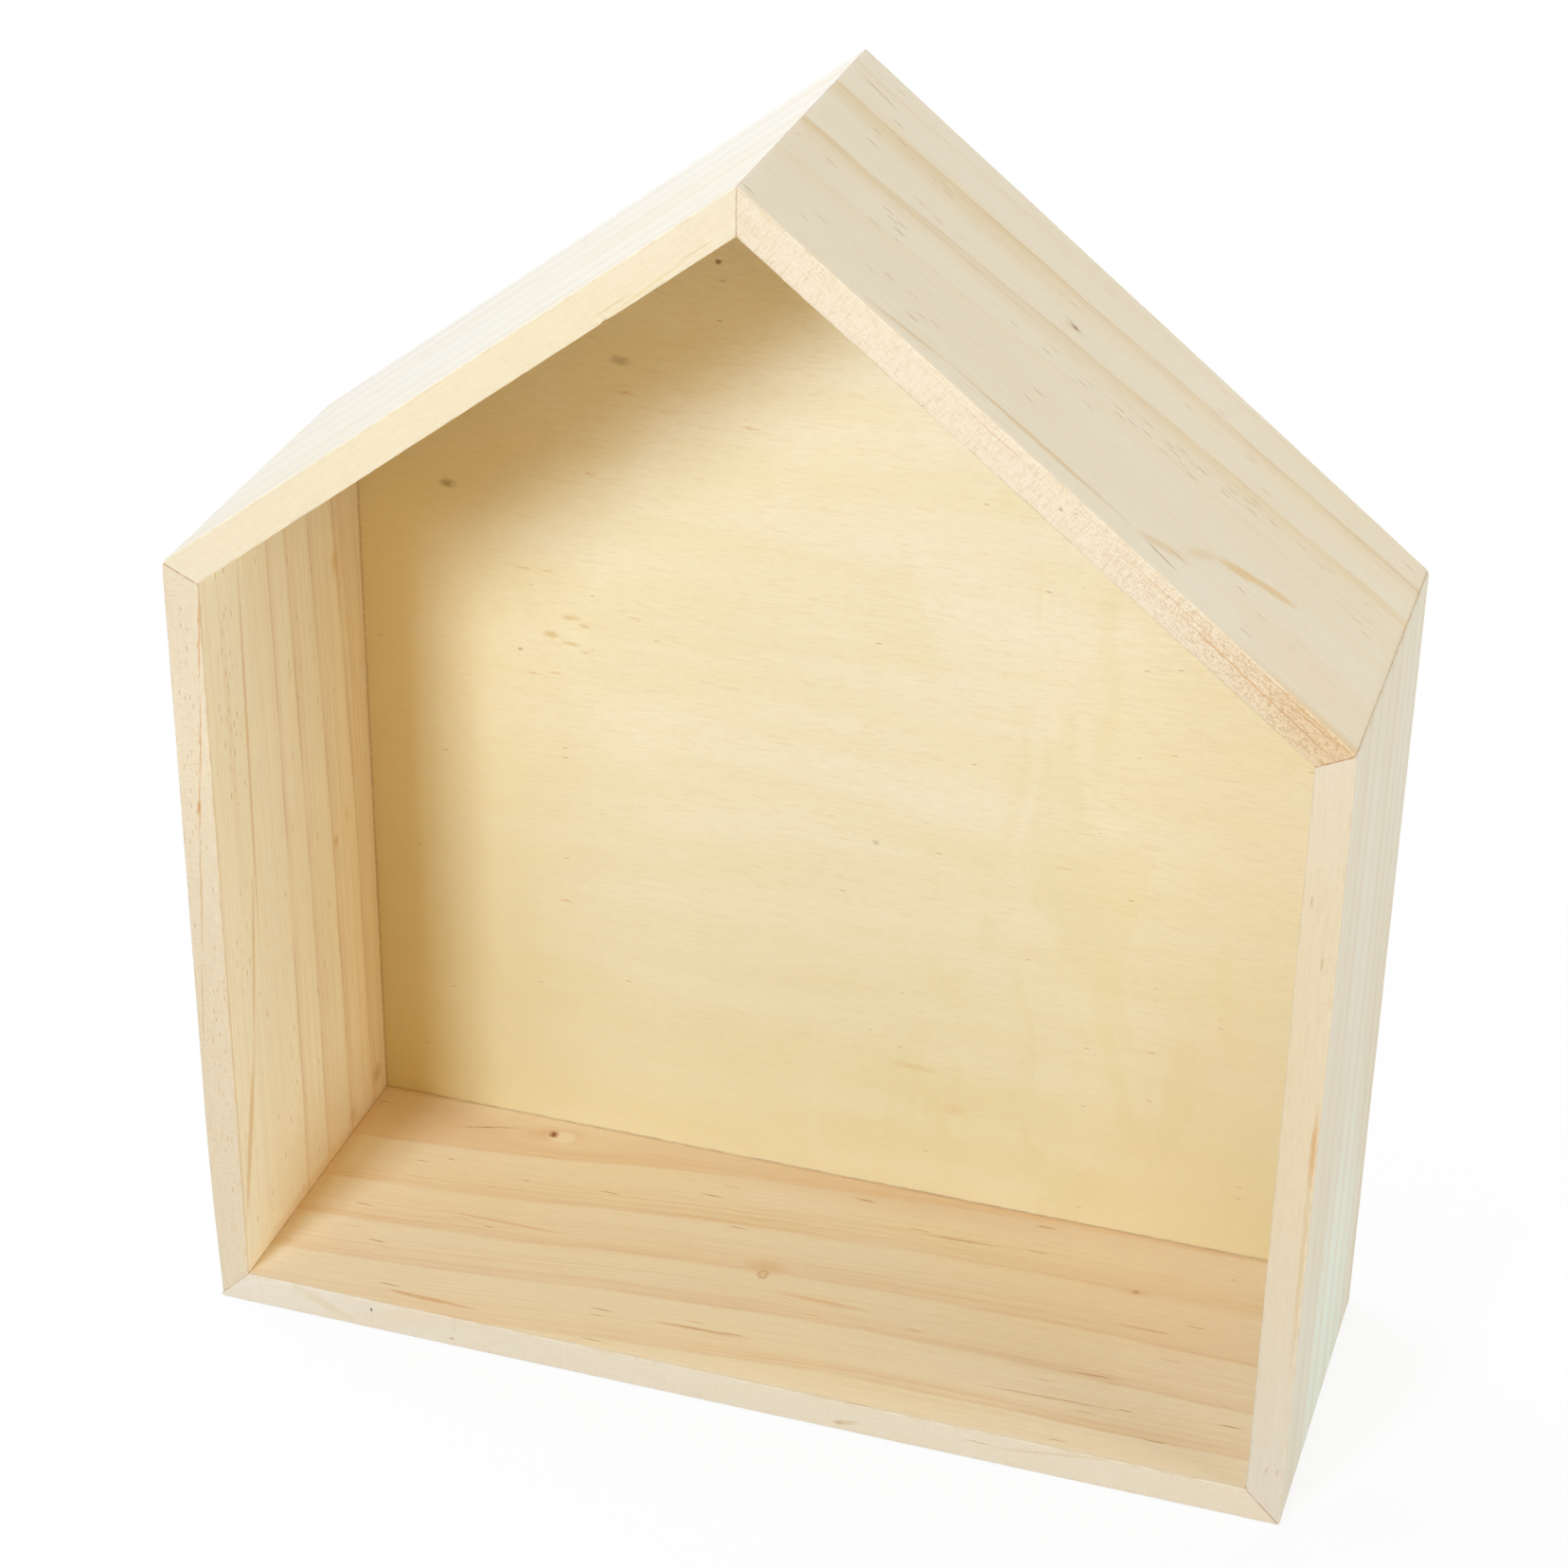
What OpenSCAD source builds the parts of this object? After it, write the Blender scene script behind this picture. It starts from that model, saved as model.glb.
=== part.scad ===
// House-shaped wall shelf: five mitred pine boards round a thin plywood back.
// Millimetres. X to the right as seen from the front, Y to the back, Z up.
// The origin is the centre of the underside of the base board.

/* [Frame] */
// Outer width over the two walls
shelf_w = 300; // [220:1:420]
// Height of the eaves, where the outer faces of wall and roof meet
eave_h = 228; // [160:1:290]
// Height of the ridge, where the outer faces of the roof meet
ridge_h = 346; // [300:1:420]
// Depth of the boards from front edge to rear edge
shelf_d = 100; // [60:1:180]
// Thickness of the boards
board_t = 9.5; // [9:0.5:15]
// Width of the flat that eases each long outer edge
edge_ease = 0.5; // [0.2:0.1:1]

/* [Back panel] */
// Thickness of the plywood back, and depth of its rebate
panel_t = 2.5; // [2:0.5:4]
// Width of the ledge that carries the rim of the panel
ledge_w = 4; // [3:0.5:5]
// Gap between the edge of the panel and the rebate
panel_fit = 0.3; // [0.1:0.1:0.8]

/* [Corner wedges] */
// Length of each wing of a corner wedge
wing_l = 4; // [3:0.5:4.5]
// Thickness of the wedge's steel strip
wing_t = 0.6; // [0.4:0.1:0.8]
// Angle between the two wings
wing_angle = 90; // [80:5:100]
// How deep a wedge goes into the rear edges
wedge_h = 8; // [5:1:15]
// Clearance round a wedge in its slot
wedge_fit = 0.05; // [0.02:0.01:0.1]

/* [Panel pins] */
// Shank diameter of a panel pin
pin_d = 1.1; // [0.9:0.1:1.4]
// Length of a panel pin, head and point included
pin_l = 14; // [10:1:20]
// Head diameter of a panel pin
pin_head_d = 2; // [1.6:0.1:2.4]
// Head thickness of a panel pin
pin_head_t = 0.5; // [0.3:0.1:0.8]
// Distance from an end of the hanger plate to the next panel pin
ridge_pin_gap = 5; // [2:0.5:12]
// Clearance round a pin or a nail in its hole
pin_fit = 0.05; // [0.02:0.01:0.1]

/* [Hanger] */
// Length of the toothed hanger plate
hanger_w = 45; // [40:1:60]
// Height of the hanger plate
hanger_h = 9.5; // [8:0.5:11]
// Thickness of the hanger's steel sheet
hanger_t = 0.8; // [0.6:0.1:1.2]
// Room behind the raised middle for the head of a wall nail
hanger_lift = 1.8; // [1.2:0.1:3]
// Length of each flat end tab
tab_l = 8; // [7:0.5:10]
// Length of the slope between a tab and the raised middle
ramp_l = 2.5; // [1.5:0.5:4]
// Distance of a nail from the end of the plate
nail_inset = 3.5; // [3:0.5:5]
// Corner radius of the plate
hanger_r = 1.5; // [1:0.5:3]
// Number of teeth along the lower edge
tooth_count = 9; // [5:1:9]
// Distance between two teeth
tooth_pitch = 2.4; // [1.6:0.1:2.5]
// Depth of a tooth
tooth_depth = 1.3; // [0.8:0.1:2]
// Shank diameter of a hanger nail
nail_d = 1.5; // [1.2:0.1:1.8]
// Length of a hanger nail below its head
nail_l = 13; // [8:1:18]
// Head diameter of a hanger nail
nail_head_d = 3.6; // [3:0.1:4.5]
// Head thickness of a hanger nail
nail_head_t = 0.7; // [0.5:0.1:1]

/* [Hidden] */

$fn = 32;
pine = [0.93, 0.87, 0.74];
plywood = [0.92, 0.86, 0.68];
steel = [0.74, 0.75, 0.77];
zinc = [0.80, 0.78, 0.70];

// How far a cutting tool runs past the face that it cuts
overrun = 1;
// Small flat on the inner rear edge of a board, where it meets the panel
rear_ease = 0.3;
// Length of the point of a pin or a nail, as a multiple of its diameter
point_share = 1.4;

front_y = -shelf_d / 2;
rear_y = shelf_d / 2;
pitch = atan((ridge_h - eave_h) / (shelf_w / 2));
// Part of a rear edge that stays outside the rebate
shoulder_w = board_t - ledge_w;
// Distance of the pins from the outer face of their board
pin_line = shoulder_w + ledge_w / 2;

// Sides in turn round the house, seen from the front: base, right wall, right roof, left roof, left wall.
base_side = 0;
right_wall_side = 1;
right_roof_side = 2;
left_roof_side = 3;
left_wall_side = 4;
// Direction in which each side runs, with the inside of the house on its left
side_angles = [0, 90, 180 - pitch, 180 + pitch, 270];
side_names = ["base", "right_wall", "right_roof", "left_roof", "left_wall"];
// The corner at which each side starts
corner_names = ["base_left_corner", "base_right_corner", "right_eave", "ridge", "left_eave"];

// Place of the roof pins next to the ridge, clear of the ends of the hanger plate
ridge_pin_x = hanger_w / 2 + ridge_pin_gap;
ridge_pin_share = (ridge_pin_x + pin_line * sin(pitch)) / cos(pitch) / side_length(right_roof_side);
// Places of the panel pins along each side, as shares of its length
pin_shares = [
    [0.12, 0.37, 0.63, 0.88],
    [0.14, 0.5, 0.86],
    [0.14, 0.5, 1 - ridge_pin_share],
    [ridge_pin_share, 0.5, 0.86],
    [0.14, 0.5, 0.86]
];

// The five corners of the house outline, moved inwards by d
function house(d) = [
    [-(shelf_w / 2 - d), d],
    [shelf_w / 2 - d, d],
    [shelf_w / 2 - d, eave_z(d)],
    [0, ridge_h - d / cos(pitch)],
    [-(shelf_w / 2 - d), eave_z(d)]
];
function eave_z(d) = ridge_h - d / cos(pitch) - (shelf_w / 2 - d) * tan(pitch);
function side_length(i) = norm(house(0)[(i + 1) % 5] - house(0)[i]);

// Distance of each hanger nail from the middle, and its height on the line of the pins
nail_x = hanger_w / 2 - nail_inset;
nail_z = ridge_h - nail_x * tan(pitch) - pin_line / cos(pitch);

// Puts a side's own frame in place: along the side, to the back, and inwards
module on_side(i) {
    start = house(0)[i];
    translate([start[0], 0, start[1]])
        rotate([0, -side_angles[i], 0])
            children();
}

// Extrudes an outline drawn in X and Z from one depth to another
module through_depth(from_y, to_y) {
    translate([0, to_y, 0])
        rotate([90, 0, 0])
            linear_extrude(to_y - from_y)
                children();
}

// Cross-section of a board: depth across, thickness up, with eased edges and the rebate
module board_section() {
    polygon([
        [front_y, edge_ease],
        [front_y + edge_ease, 0],
        [rear_y - edge_ease, 0],
        [rear_y, edge_ease],
        [rear_y, shoulder_w],
        [rear_y - panel_t, shoulder_w],
        [rear_y - panel_t, board_t - rear_ease],
        [rear_y - panel_t - rear_ease, board_t],
        [front_y + edge_ease, board_t],
        [front_y, board_t - edge_ease]
    ]);
}

// The room between the two mitres of a side
module mitre_sector(i) {
    outer = house(-overrun);
    inner = house(board_t + overrun);
    next = (i + 1) % 5;
    through_depth(front_y - overrun, rear_y + overrun)
        polygon([outer[i], outer[next], inner[next], inner[i]]);
}

module board(i) {
    difference() {
        intersection() {
            on_side(i)
                translate([-overrun, 0, 0])
                    rotate([90, 0, 90])
                        linear_extrude(side_length(i) + overrun * 2)
                            board_section();
            mitre_sector(i);
        }
        corner_wedge_at(i, wedge_fit);
        corner_wedge_at((i + 1) % 5, wedge_fit);
        for (place = pin_shares[i]) pin_at(i, place, pin_fit);
        if (i == right_roof_side) nail_shank(nail_x, pin_fit);
        if (i == left_roof_side) nail_shank(-nail_x, pin_fit);
    }
}

module base_board() {
    color(pine) board(base_side);
}

module right_wall_board() {
    color(pine) board(right_wall_side);
}

module right_roof_board() {
    color(pine) board(right_roof_side);
}

module left_roof_board() {
    color(pine) board(left_roof_side);
}

module left_wall_board() {
    color(pine) board(left_wall_side);
}

module back_panel() {
    color(plywood)
        difference() {
            through_depth(rear_y - panel_t, rear_y)
                polygon(house(shoulder_w + panel_fit));
            for (i = [0 : 4])
                for (place = pin_shares[i]) pin_at(i, place, pin_fit);
            nail_shank(nail_x, pin_fit);
            nail_shank(-nail_x, pin_fit);
        }
}

// V-shaped outline of a wedge, pointing along -X, made larger all round by grow
module wedge_outline(grow) {
    half = wing_angle / 2;
    reach = wing_l + grow;
    tip = -grow / sin(half);
    hollow = (wing_t + grow) / sin(half);
    end = [reach * cos(half) - grow * sin(half), reach * sin(half) + grow * cos(half)];
    back = [reach * cos(half) + (wing_t + grow) * sin(half), reach * sin(half) - (wing_t + grow) * cos(half)];
    polygon([
        [tip, 0],
        [end[0], -end[1]],
        [back[0], -back[1]],
        [hollow, 0],
        back,
        end
    ]);
}

// A wedge across corner i, on the line midway along the shoulder
module corner_wedge_at(i, grow) {
    before = side_angles[(i + 4) % 5] - (i == 0 ? 360 : 0);
    inwards = 90 + (side_angles[i] + before) / 2;
    place = house(shoulder_w / 2)[i];
    depth = wedge_h + grow;
    over = grow > 0 ? overrun : 0;
    through_depth(rear_y - depth, rear_y + over)
        translate(place)
            rotate(inwards)
                wedge_outline(grow);
}

module corner_wedge(i) {
    color(steel) corner_wedge_at(i, 0);
}

// A headed pin that points along +Z from the outside of its head, made larger by grow
module pin(shank_d, length, head_d, head_t, grow) {
    point_l = shank_d * point_share;
    over = grow > 0 ? overrun : 0;
    translate([0, 0, -over])
        cylinder(h = head_t + over + grow, d = head_d + grow * 2);
    translate([0, 0, head_t])
        cylinder(h = length - head_t - point_l, d = shank_d + grow * 2);
    translate([0, 0, length - point_l])
        if (grow > 0) cylinder(h = point_l + grow, d = shank_d + grow * 2);
        else cylinder(h = point_l, d1 = shank_d, d2 = shank_d / 4);
}

// A panel pin of side i, at a share of the side's length
module pin_at(i, place, grow) {
    on_side(i)
        translate([place * side_length(i), rear_y, pin_line])
            rotate([90, 0, 0])
                pin(pin_d, pin_l, pin_head_d, pin_head_t, grow);
}

module panel_pin(i, number) {
    color(steel) pin_at(i, pin_shares[i][number], 0);
}

// Outline of the hanger plate seen from above, bent out in the middle
module hanger_bend() {
    end = hanger_w / 2;
    foot = end - tab_l;
    top = foot - ramp_l;
    polygon([
        [-end, 0],
        [-foot, 0],
        [-top, hanger_lift],
        [top, hanger_lift],
        [foot, 0],
        [end, 0],
        [end, hanger_t],
        [foot, hanger_t],
        [top, hanger_lift + hanger_t],
        [-top, hanger_lift + hanger_t],
        [-foot, hanger_t],
        [-end, hanger_t]
    ]);
}

// Face of the hanger plate: round corners, and teeth along the lower edge
module hanger_face() {
    wide = hanger_w / 2;
    high = hanger_h / 2;
    difference() {
        union() {
            translate([-wide, -high + hanger_r])
                square([hanger_w, hanger_h - hanger_r * 2]);
            translate([-wide + hanger_r, -high])
                square([hanger_w - hanger_r * 2, hanger_h]);
            for (side = [-1, 1])
                for (up = [-1, 1])
                    translate([side * (wide - hanger_r), up * (high - hanger_r)])
                        circle(r = hanger_r);
        }
        for (n = [0 : tooth_count - 1])
            translate([(n - (tooth_count - 1) / 2) * tooth_pitch, -high])
                polygon([
                    [-tooth_pitch / 2, -overrun],
                    [tooth_pitch / 2, -overrun],
                    [tooth_pitch / 2, 0],
                    [0, tooth_depth],
                    [-tooth_pitch / 2, 0]
                ]);
    }
}

module hanger_plate() {
    plate_depth = hanger_lift + hanger_t;
    color(zinc)
        difference() {
            intersection() {
                translate([0, rear_y, nail_z - hanger_h / 2])
                    linear_extrude(hanger_h)
                        hanger_bend();
                through_depth(rear_y - overrun, rear_y + plate_depth + overrun)
                    translate([0, nail_z])
                        hanger_face();
            }
            nail_shank(nail_x, pin_fit);
            nail_shank(-nail_x, pin_fit);
        }
}

// Shank of a hanger nail, from the face of the plate into the roof board
module nail_shank(x, grow) {
    point_l = nail_d * point_share;
    over = grow > 0 ? overrun : 0;
    translate([x, rear_y + hanger_t + over, nail_z])
        rotate([90, 0, 0]) {
            cylinder(h = nail_l - point_l + over, d = nail_d + grow * 2);
            translate([0, 0, nail_l - point_l + over])
                if (grow > 0) cylinder(h = point_l + grow, d = nail_d + grow * 2);
                else cylinder(h = point_l, d1 = nail_d, d2 = nail_d / 4);
        }
}

module hanger_nail(x) {
    color(steel) {
        nail_shank(x, 0);
        translate([x, rear_y + hanger_t + nail_head_t, nail_z])
            rotate([90, 0, 0])
                cylinder(h = nail_head_t, d = nail_head_d);
    }
}

base_board();
right_wall_board();
right_roof_board();
left_roof_board();
left_wall_board();
back_panel();
for (i = [0 : 4])
    corner_wedge(i);
for (i = [0 : 4])
    for (n = [0 : len(pin_shares[i]) - 1])
        panel_pin(i, n);
hanger_plate();
hanger_nail(nail_x);  // right_hanger_nail
hanger_nail(-nail_x);  // left_hanger_nail
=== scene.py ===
import math
import random

import bmesh
import bpy
from mathutils import Matrix, Vector, noise


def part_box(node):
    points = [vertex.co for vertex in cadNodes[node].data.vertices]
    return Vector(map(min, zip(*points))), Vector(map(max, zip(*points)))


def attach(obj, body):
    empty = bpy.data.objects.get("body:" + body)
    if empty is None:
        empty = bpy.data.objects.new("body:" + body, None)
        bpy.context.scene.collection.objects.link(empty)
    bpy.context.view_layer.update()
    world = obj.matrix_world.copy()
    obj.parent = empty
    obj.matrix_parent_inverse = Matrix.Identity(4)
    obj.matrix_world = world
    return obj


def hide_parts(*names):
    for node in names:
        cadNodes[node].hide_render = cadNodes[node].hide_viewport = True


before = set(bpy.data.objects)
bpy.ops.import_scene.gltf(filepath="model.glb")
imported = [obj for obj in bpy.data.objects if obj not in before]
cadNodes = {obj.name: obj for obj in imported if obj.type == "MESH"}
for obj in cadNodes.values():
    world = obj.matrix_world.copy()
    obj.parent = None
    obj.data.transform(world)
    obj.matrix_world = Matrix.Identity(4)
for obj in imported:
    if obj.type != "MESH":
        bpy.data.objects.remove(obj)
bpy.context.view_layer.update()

millimetre = 0.001
cutTolerance = 1e-5          # millimetres
sameTolerance = 1e-4
sharpAngle = math.radians(40)
print("frame loaded:", len(cadNodes), "CAD nodes")


# Measures taken from the CAD nodes, in millimetres

def nodeBox(name):
    low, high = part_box(name)
    return low / millimetre, high / millimetre


baseLow, baseHigh = nodeBox("base_board")
panelLow, panelHigh = nodeBox("back_panel")
halfWidth = baseHigh.x
halfDepth = baseHigh.y
boardThickness = baseHigh.z
eaveHeight = nodeBox("right_wall_board")[1].z
ridgeHeight = nodeBox("right_roof_board")[1].z
panelThickness = panelHigh.y - panelLow.y
pitch = math.atan((ridgeHeight - eaveHeight) / halfWidth)
shoulderWidth = 5.5          # rear rim of a board outside the rebate
sideAngles = [0, math.pi / 2, math.pi - pitch, math.pi + pitch, math.pi * 1.5]


# Corners of the house from the lower left on, moved inwards
def houseCorners(inset):
    side = halfWidth - inset
    eave = ridgeHeight - inset / math.cos(pitch) - side * math.tan(pitch)
    ridge = ridgeHeight - inset / math.cos(pitch)
    outline = [(-side, inset), (side, inset), (side, eave), (0, ridge), (-side, eave)]
    return [Vector((x, 0, z)) for x, z in outline]


# Matrix from a board's own frame (along, back, inwards) to the house
def boardFrame(side):
    corners = houseCorners(0)
    middle = (corners[side] + corners[(side + 1) % 5]) / 2
    return Matrix.Translation(middle) @ Matrix.Rotation(-sideAngles[side], 4, "Y")


# Shader helper

# Linear colour of a tone given in steps of 0 to 255; anything else is left as it is
def tone(colour):
    if not isinstance(colour, tuple) or len(colour) != 3:
        return colour
    shares = [step / 255 for step in colour]
    return [share / 12.92 if share <= 0.04045 else ((share + 0.055) / 1.055) ** 2.4 for share in shares] + [1]


# Nodes of a new material, or of the world
class Shade:
    def __init__(self, name, owner=None):
        self.owner = owner or bpy.data.materials.new(name)
        self.owner.use_nodes = True
        self.tree = self.owner.node_tree
        self.tree.nodes.clear()

    def add(self, kind, inputs=None, **settings):
        made = self.tree.nodes.new("ShaderNode" + kind)
        for key, value in settings.items():
            setattr(made, key, value)
        for key, value in (inputs or {}).items():
            socket = made.inputs[key]
            if isinstance(value, bpy.types.NodeSocket):
                self.tree.links.new(value, socket)
            else:
                socket.default_value = value
        return made

    def math(self, operation, *values, clamp=False):
        inputs = dict(enumerate(values))
        return self.add("Math", inputs, operation=operation, use_clamp=clamp).outputs[0]

    def times(self, first, *others):
        for other in others:
            first = self.math("MULTIPLY", first, other)
        return first

    def scaled(self, value, factor, added):
        return self.math("MULTIPLY_ADD", value, factor, added)

    def vector(self, operation, *values, output="Vector"):
        return self.add("VectorMath", dict(enumerate(values)), operation=operation).outputs[output]

    def span(self, value, low, high, toLow=0, toHigh=1, smooth=True):
        kind = "SMOOTHSTEP" if smooth else "LINEAR"
        inputs = {"Value": value, "From Min": low, "From Max": high, "To Min": toLow, "To Max": toHigh}
        return self.add("MapRange", inputs, interpolation_type=kind).outputs["Result"]

    def place(self, vector, location=(0, 0, 0), turn=(0, 0, 0), scale=(1, 1, 1), kind="POINT"):
        inputs = {"Vector": vector, "Location": location, "Rotation": turn, "Scale": scale}
        return self.add("Mapping", inputs, vector_type=kind).outputs[0]

    def noise(self, vector, scale, shift=0, detail=2.0, roughness=0.5, distortion=0):
        shifted = self.place(vector, location=(shift, shift * 0.7, -shift), scale=scale)
        inputs = {
            "Vector": shifted, "Scale": 1, "Detail": detail, "Roughness": roughness, "Distortion": distortion,
        }
        return self.add("TexNoise", inputs, noise_dimensions="3D").outputs[0]

    # One soft-edged lump at a centre: 1 inside, 0 outside its size
    def spot(self, vector, centre, size, turn=0, core=0, tip=0):
        local = self.place(vector, centre, (0, math.radians(tip), math.radians(turn)), size, "TEXTURE")
        return self.span(self.vector("LENGTH", local, output="Value"), 1, core)

    def ramp(self, factor, stops, kind="LINEAR"):
        made = self.add("ValToRGB", {"Fac": factor})
        made.color_ramp.interpolation = kind
        points = made.color_ramp.elements
        while len(points) > 1:
            points.remove(points[-1])
        points[0].position = stops[0][0]
        for number, (position, value) in enumerate(stops):
            point = points.new(position) if number else points[0]
            point.color = value if isinstance(value, tuple) else (value, value, value, 1)
        return made.outputs[0]

    def mix(self, factor, first, second, blend="MIX"):
        inputs = {0: factor, 6: tone(first), 7: tone(second)}
        return self.add("Mix", inputs, data_type="RGBA", blend_type=blend).outputs[2]

    # Lays a colour over the one that is there, as strongly as the product of the shares
    def paint(self, colour, *shares, blend="MIX"):
        self.colour = self.mix(self.times(*shares), self.colour, colour, blend)

    # Vector with a small wobble, for outlines that look grown
    def ragged(self, vector, scale, reach):
        warp = self.add("TexNoise", {"Vector": self.place(vector, scale=scale), "Scale": 1, "Detail": 1})
        wobble = self.vector("SUBTRACT", warp.outputs["Color"], (0.5, 0.5, 0.5))
        return self.vector("ADD", vector, self.vector("MULTIPLY", wobble, reach))

    # Short dashes in cells picked at random, those above the limit
    def dashes(self, vector, limit, outline, strength, **settings):
        cells = self.add("TexVoronoi", {"Vector": vector, "Scale": 1, "Randomness": 1}, **settings)
        picked = self.add("SeparateColor", {0: cells.outputs["Color"]})
        chosen = self.math("GREATER_THAN", picked.outputs[0], limit)
        dash = self.span(cells.outputs["Distance"], *outline)
        return self.times(dash, chosen, self.span(picked.outputs[1], 0, 1, *strength))

    # Vector in millimetres
    def houseVector(self):
        return self.place(self.add("TexCoord").outputs["Object"], scale=[1 / millimetre] * 3)

    # Vector in millimetres, turned into a board's own frame
    def boardVector(self, side):
        coords = self.add("TexCoord").outputs["Object"]
        angle = sideAngles[side]
        origin = boardFrame(side).translation
        location = -(Matrix.Rotation(angle, 3, "Y") @ origin)
        return self.place(coords, location, (0, angle, 0), [1 / millimetre] * 3)

    def finish(self, roughness, height, depth, specular=0.35, metallic=0):
        bump = self.add("Bump", {"Height": height, "Strength": 1, "Distance": depth * millimetre})
        inputs = {
            "Base Color": self.colour, "Roughness": roughness, "Normal": bump.outputs[0],
            "Specular IOR Level": specular, "Metallic": metallic,
        }
        shader = self.add("BsdfPrincipled", inputs)
        self.add("OutputMaterial", {"Surface": shader.outputs[0]})
        return self.owner


# Pine boards

# A mark of colour: place and half size along, across and inwards in millimetres
def mark(at, size, colour, amount, turn=0, tip=0, core=0.3):
    return {"at": at, "size": size, "tone": colour, "amount": amount, "turn": turn, "tip": tip, "core": core}


# Marks on the front edge and on the inner face: place, half length, half width
def edgeMark(along, inward, long, wide, *look, **more):
    return mark((along, -halfDepth, inward), (long, 1, wide), *look, **more)


def innerMark(along, across, long, wide, *look, **more):
    return mark((along, across, boardThickness), (long, wide, 3), *look, **more)


commonBoard = {
    "roughness": (0.5, 0.66), "specular": 0.22,
    "relief": 0.04,           # millimetres
    # The joint tone is a painted shadow in the corner where a board meets the back
    "dashTone": (200, 150, 88), "seamTone": (186, 132, 76), "jointShadeTone": (168, 112, 58),
    "lean": 0.35,             # how far the rings move across through the thickness
    "wiggle": ((0.012, 0.02, 0.03, 1.4), (0.045, 0.08, 0.1, 0.8)),
    "fadeScale": (0.011, 0.05, 0), "breakScale": (0.03, 0.12, 0),
    "lineScale": (0.008, 0.9, 0.02), "fineLines": 0.34,
    "edgeRings": 0.3,
    "driftScale": (0.01, 0.03, 0.05),
    "fibreScale": (0.16, 2.4, 2.4), "fibres": 0.3,
    "dashCell": ((22, 1.5), (7, 0.8)),      # on the broad faces and on the front edge
    "dashes": 0.05, "dashGroups": [], "clusterScale": (0.022, 0.05, 0.05),
    "dashOutline": (0.19, 0.08), "dashStrength": (0.3, 0.9), "dashTurn": 0.6,
    "sawMarks": (0, 0.12),    # slant on the front edge, strength
    "sawScale": (2.6, 1, 0.3),
    "ragged": ((0.35, 0.9, 0.9), (1.4, 0.8, 0.8)),      # noise scale, reach in millimetres
    "patchScale": (0.2, 0.6, 0.6),
    # The joint share is the strength of that painted shadow
    "seamWidth": 0.14, "joint": 0.5,
    "arrisDirt": (1, 0.2),    # begins and is full this far off an arris, millimetres
    "speckle": None, "speckleScale": (1.25, 1.25, 1.25), "speckleSlant": 40,
    "knots": [], "knotParts": (("halo", 0), ("ring", 0.5), ("rim", 0.6), ("core", 0.4)),
    "depths": {"latewood": 0.4, "pits": -0.2, "sawn": -0.35},      # shares of the relief

    # Shape, in millimetres
    "inset": 0.01,            # keeps the softened boards inside the sawn ones
    "rearSet": 0.04,          # rear faces stay this far under the heads of the wedges
    "arrisBevel": {"frontOuter": 0.35, "rearOuter": 0.4, "frontInner": 0.3, "rearInner": 0.06, "ledge": 0.15},
    "support": 2.5,           # lengthwise cuts beside the arrises
    "cutStep": (2.0, 4.0),
    "arrisZone": 0.65, "arrisWear": 0.07,
    "rubMean": 0.3, "rubWaves": ((14, 7.3, 0, 0.5), (3.1, 3.7, 5, 0.25)),   # length, spread, shift, amount
    "worn": None, "chips": [], "chipCuts": (-1, -0.6, -0.25, 0.1, 0.35, 0.7, 1),
    "mitreBack": 0.01, "mitreEase": 0.05,
    "weldGap": 1e-7,          # metres
}


# Latewood of all rings: a wash that ends abruptly at each ring, and the thin line at its end
def ringsOf(shade, board, along, flowed):
    both = None
    for offset, tilt, wash, fade, line, width in board["rings"]:
        centre = shade.scaled(along, tilt / 100, offset)
        away = shade.math("SUBTRACT", flowed, centre)
        low, high = -1 - width, abs(fade)
        if fade < 0:
            away = shade.times(away, -1)
        stops = [
            (low, (0, 0, 0, 1)), (-width, (0, 0.2 * line, 0, 1)), (0, (wash * 0.8, line, 0, 1)),
            (width, (wash, 0.3 * line, 0, 1)), (high * 0.4, (wash * 0.55, 0, 0, 1)), (high, (0, 0, 0, 1)),
        ]
        place = shade.span(away, low, high, smooth=False)
        seen = shade.ramp(place, [((point - low) / (high - low), value) for point, value in stops])
        if both is not None:
            seen = shade.vector("MAXIMUM", both, seen)
        both = seen
    return shade.add("SeparateColor", {0: both}).outputs[:2]


# Course of the rings along the board, their wiggles, and the way they flow round a knot
def ringFlow(shade, board, local, along, across, inward):
    points = board["course"]
    start, end = points[0][0], points[-1][0]
    lows = [value for _, value in points]
    low, high = min(lows), max(max(lows), min(lows) + 1)
    stops = [((point - start) / (end - start), (value - low) / (high - low)) for point, value in points]
    course = shade.ramp(shade.span(along, start, end, smooth=False), stops, "B_SPLINE")
    course = shade.scaled(course, high - low, low)
    flowed = shade.math("SUBTRACT", across, course)
    turned = shade.scaled(inward, board["lean"], -board["lean"] * board["ringFace"])
    flowed = shade.math("ADD", flowed, turned)
    for number, (*scale, amount) in enumerate(board["wiggle"]):
        wave = shade.noise(local, scale, board["seed"] + number, 1)
        flowed = shade.math("ADD", flowed, shade.scaled(wave, amount * 2, -amount))
    for knot in board["knots"]:
        reach = (knot["halo"][0] * 1.5, knot["halo"][1] * 2.2, 12)
        pull = shade.spot(local, knot["at"], reach)
        gap = shade.math("SUBTRACT", across, knot["at"][1])
        flowed = shade.math("ADD", flowed, shade.times(gap, pull, -knot["pull"]))
    return flowed


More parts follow.
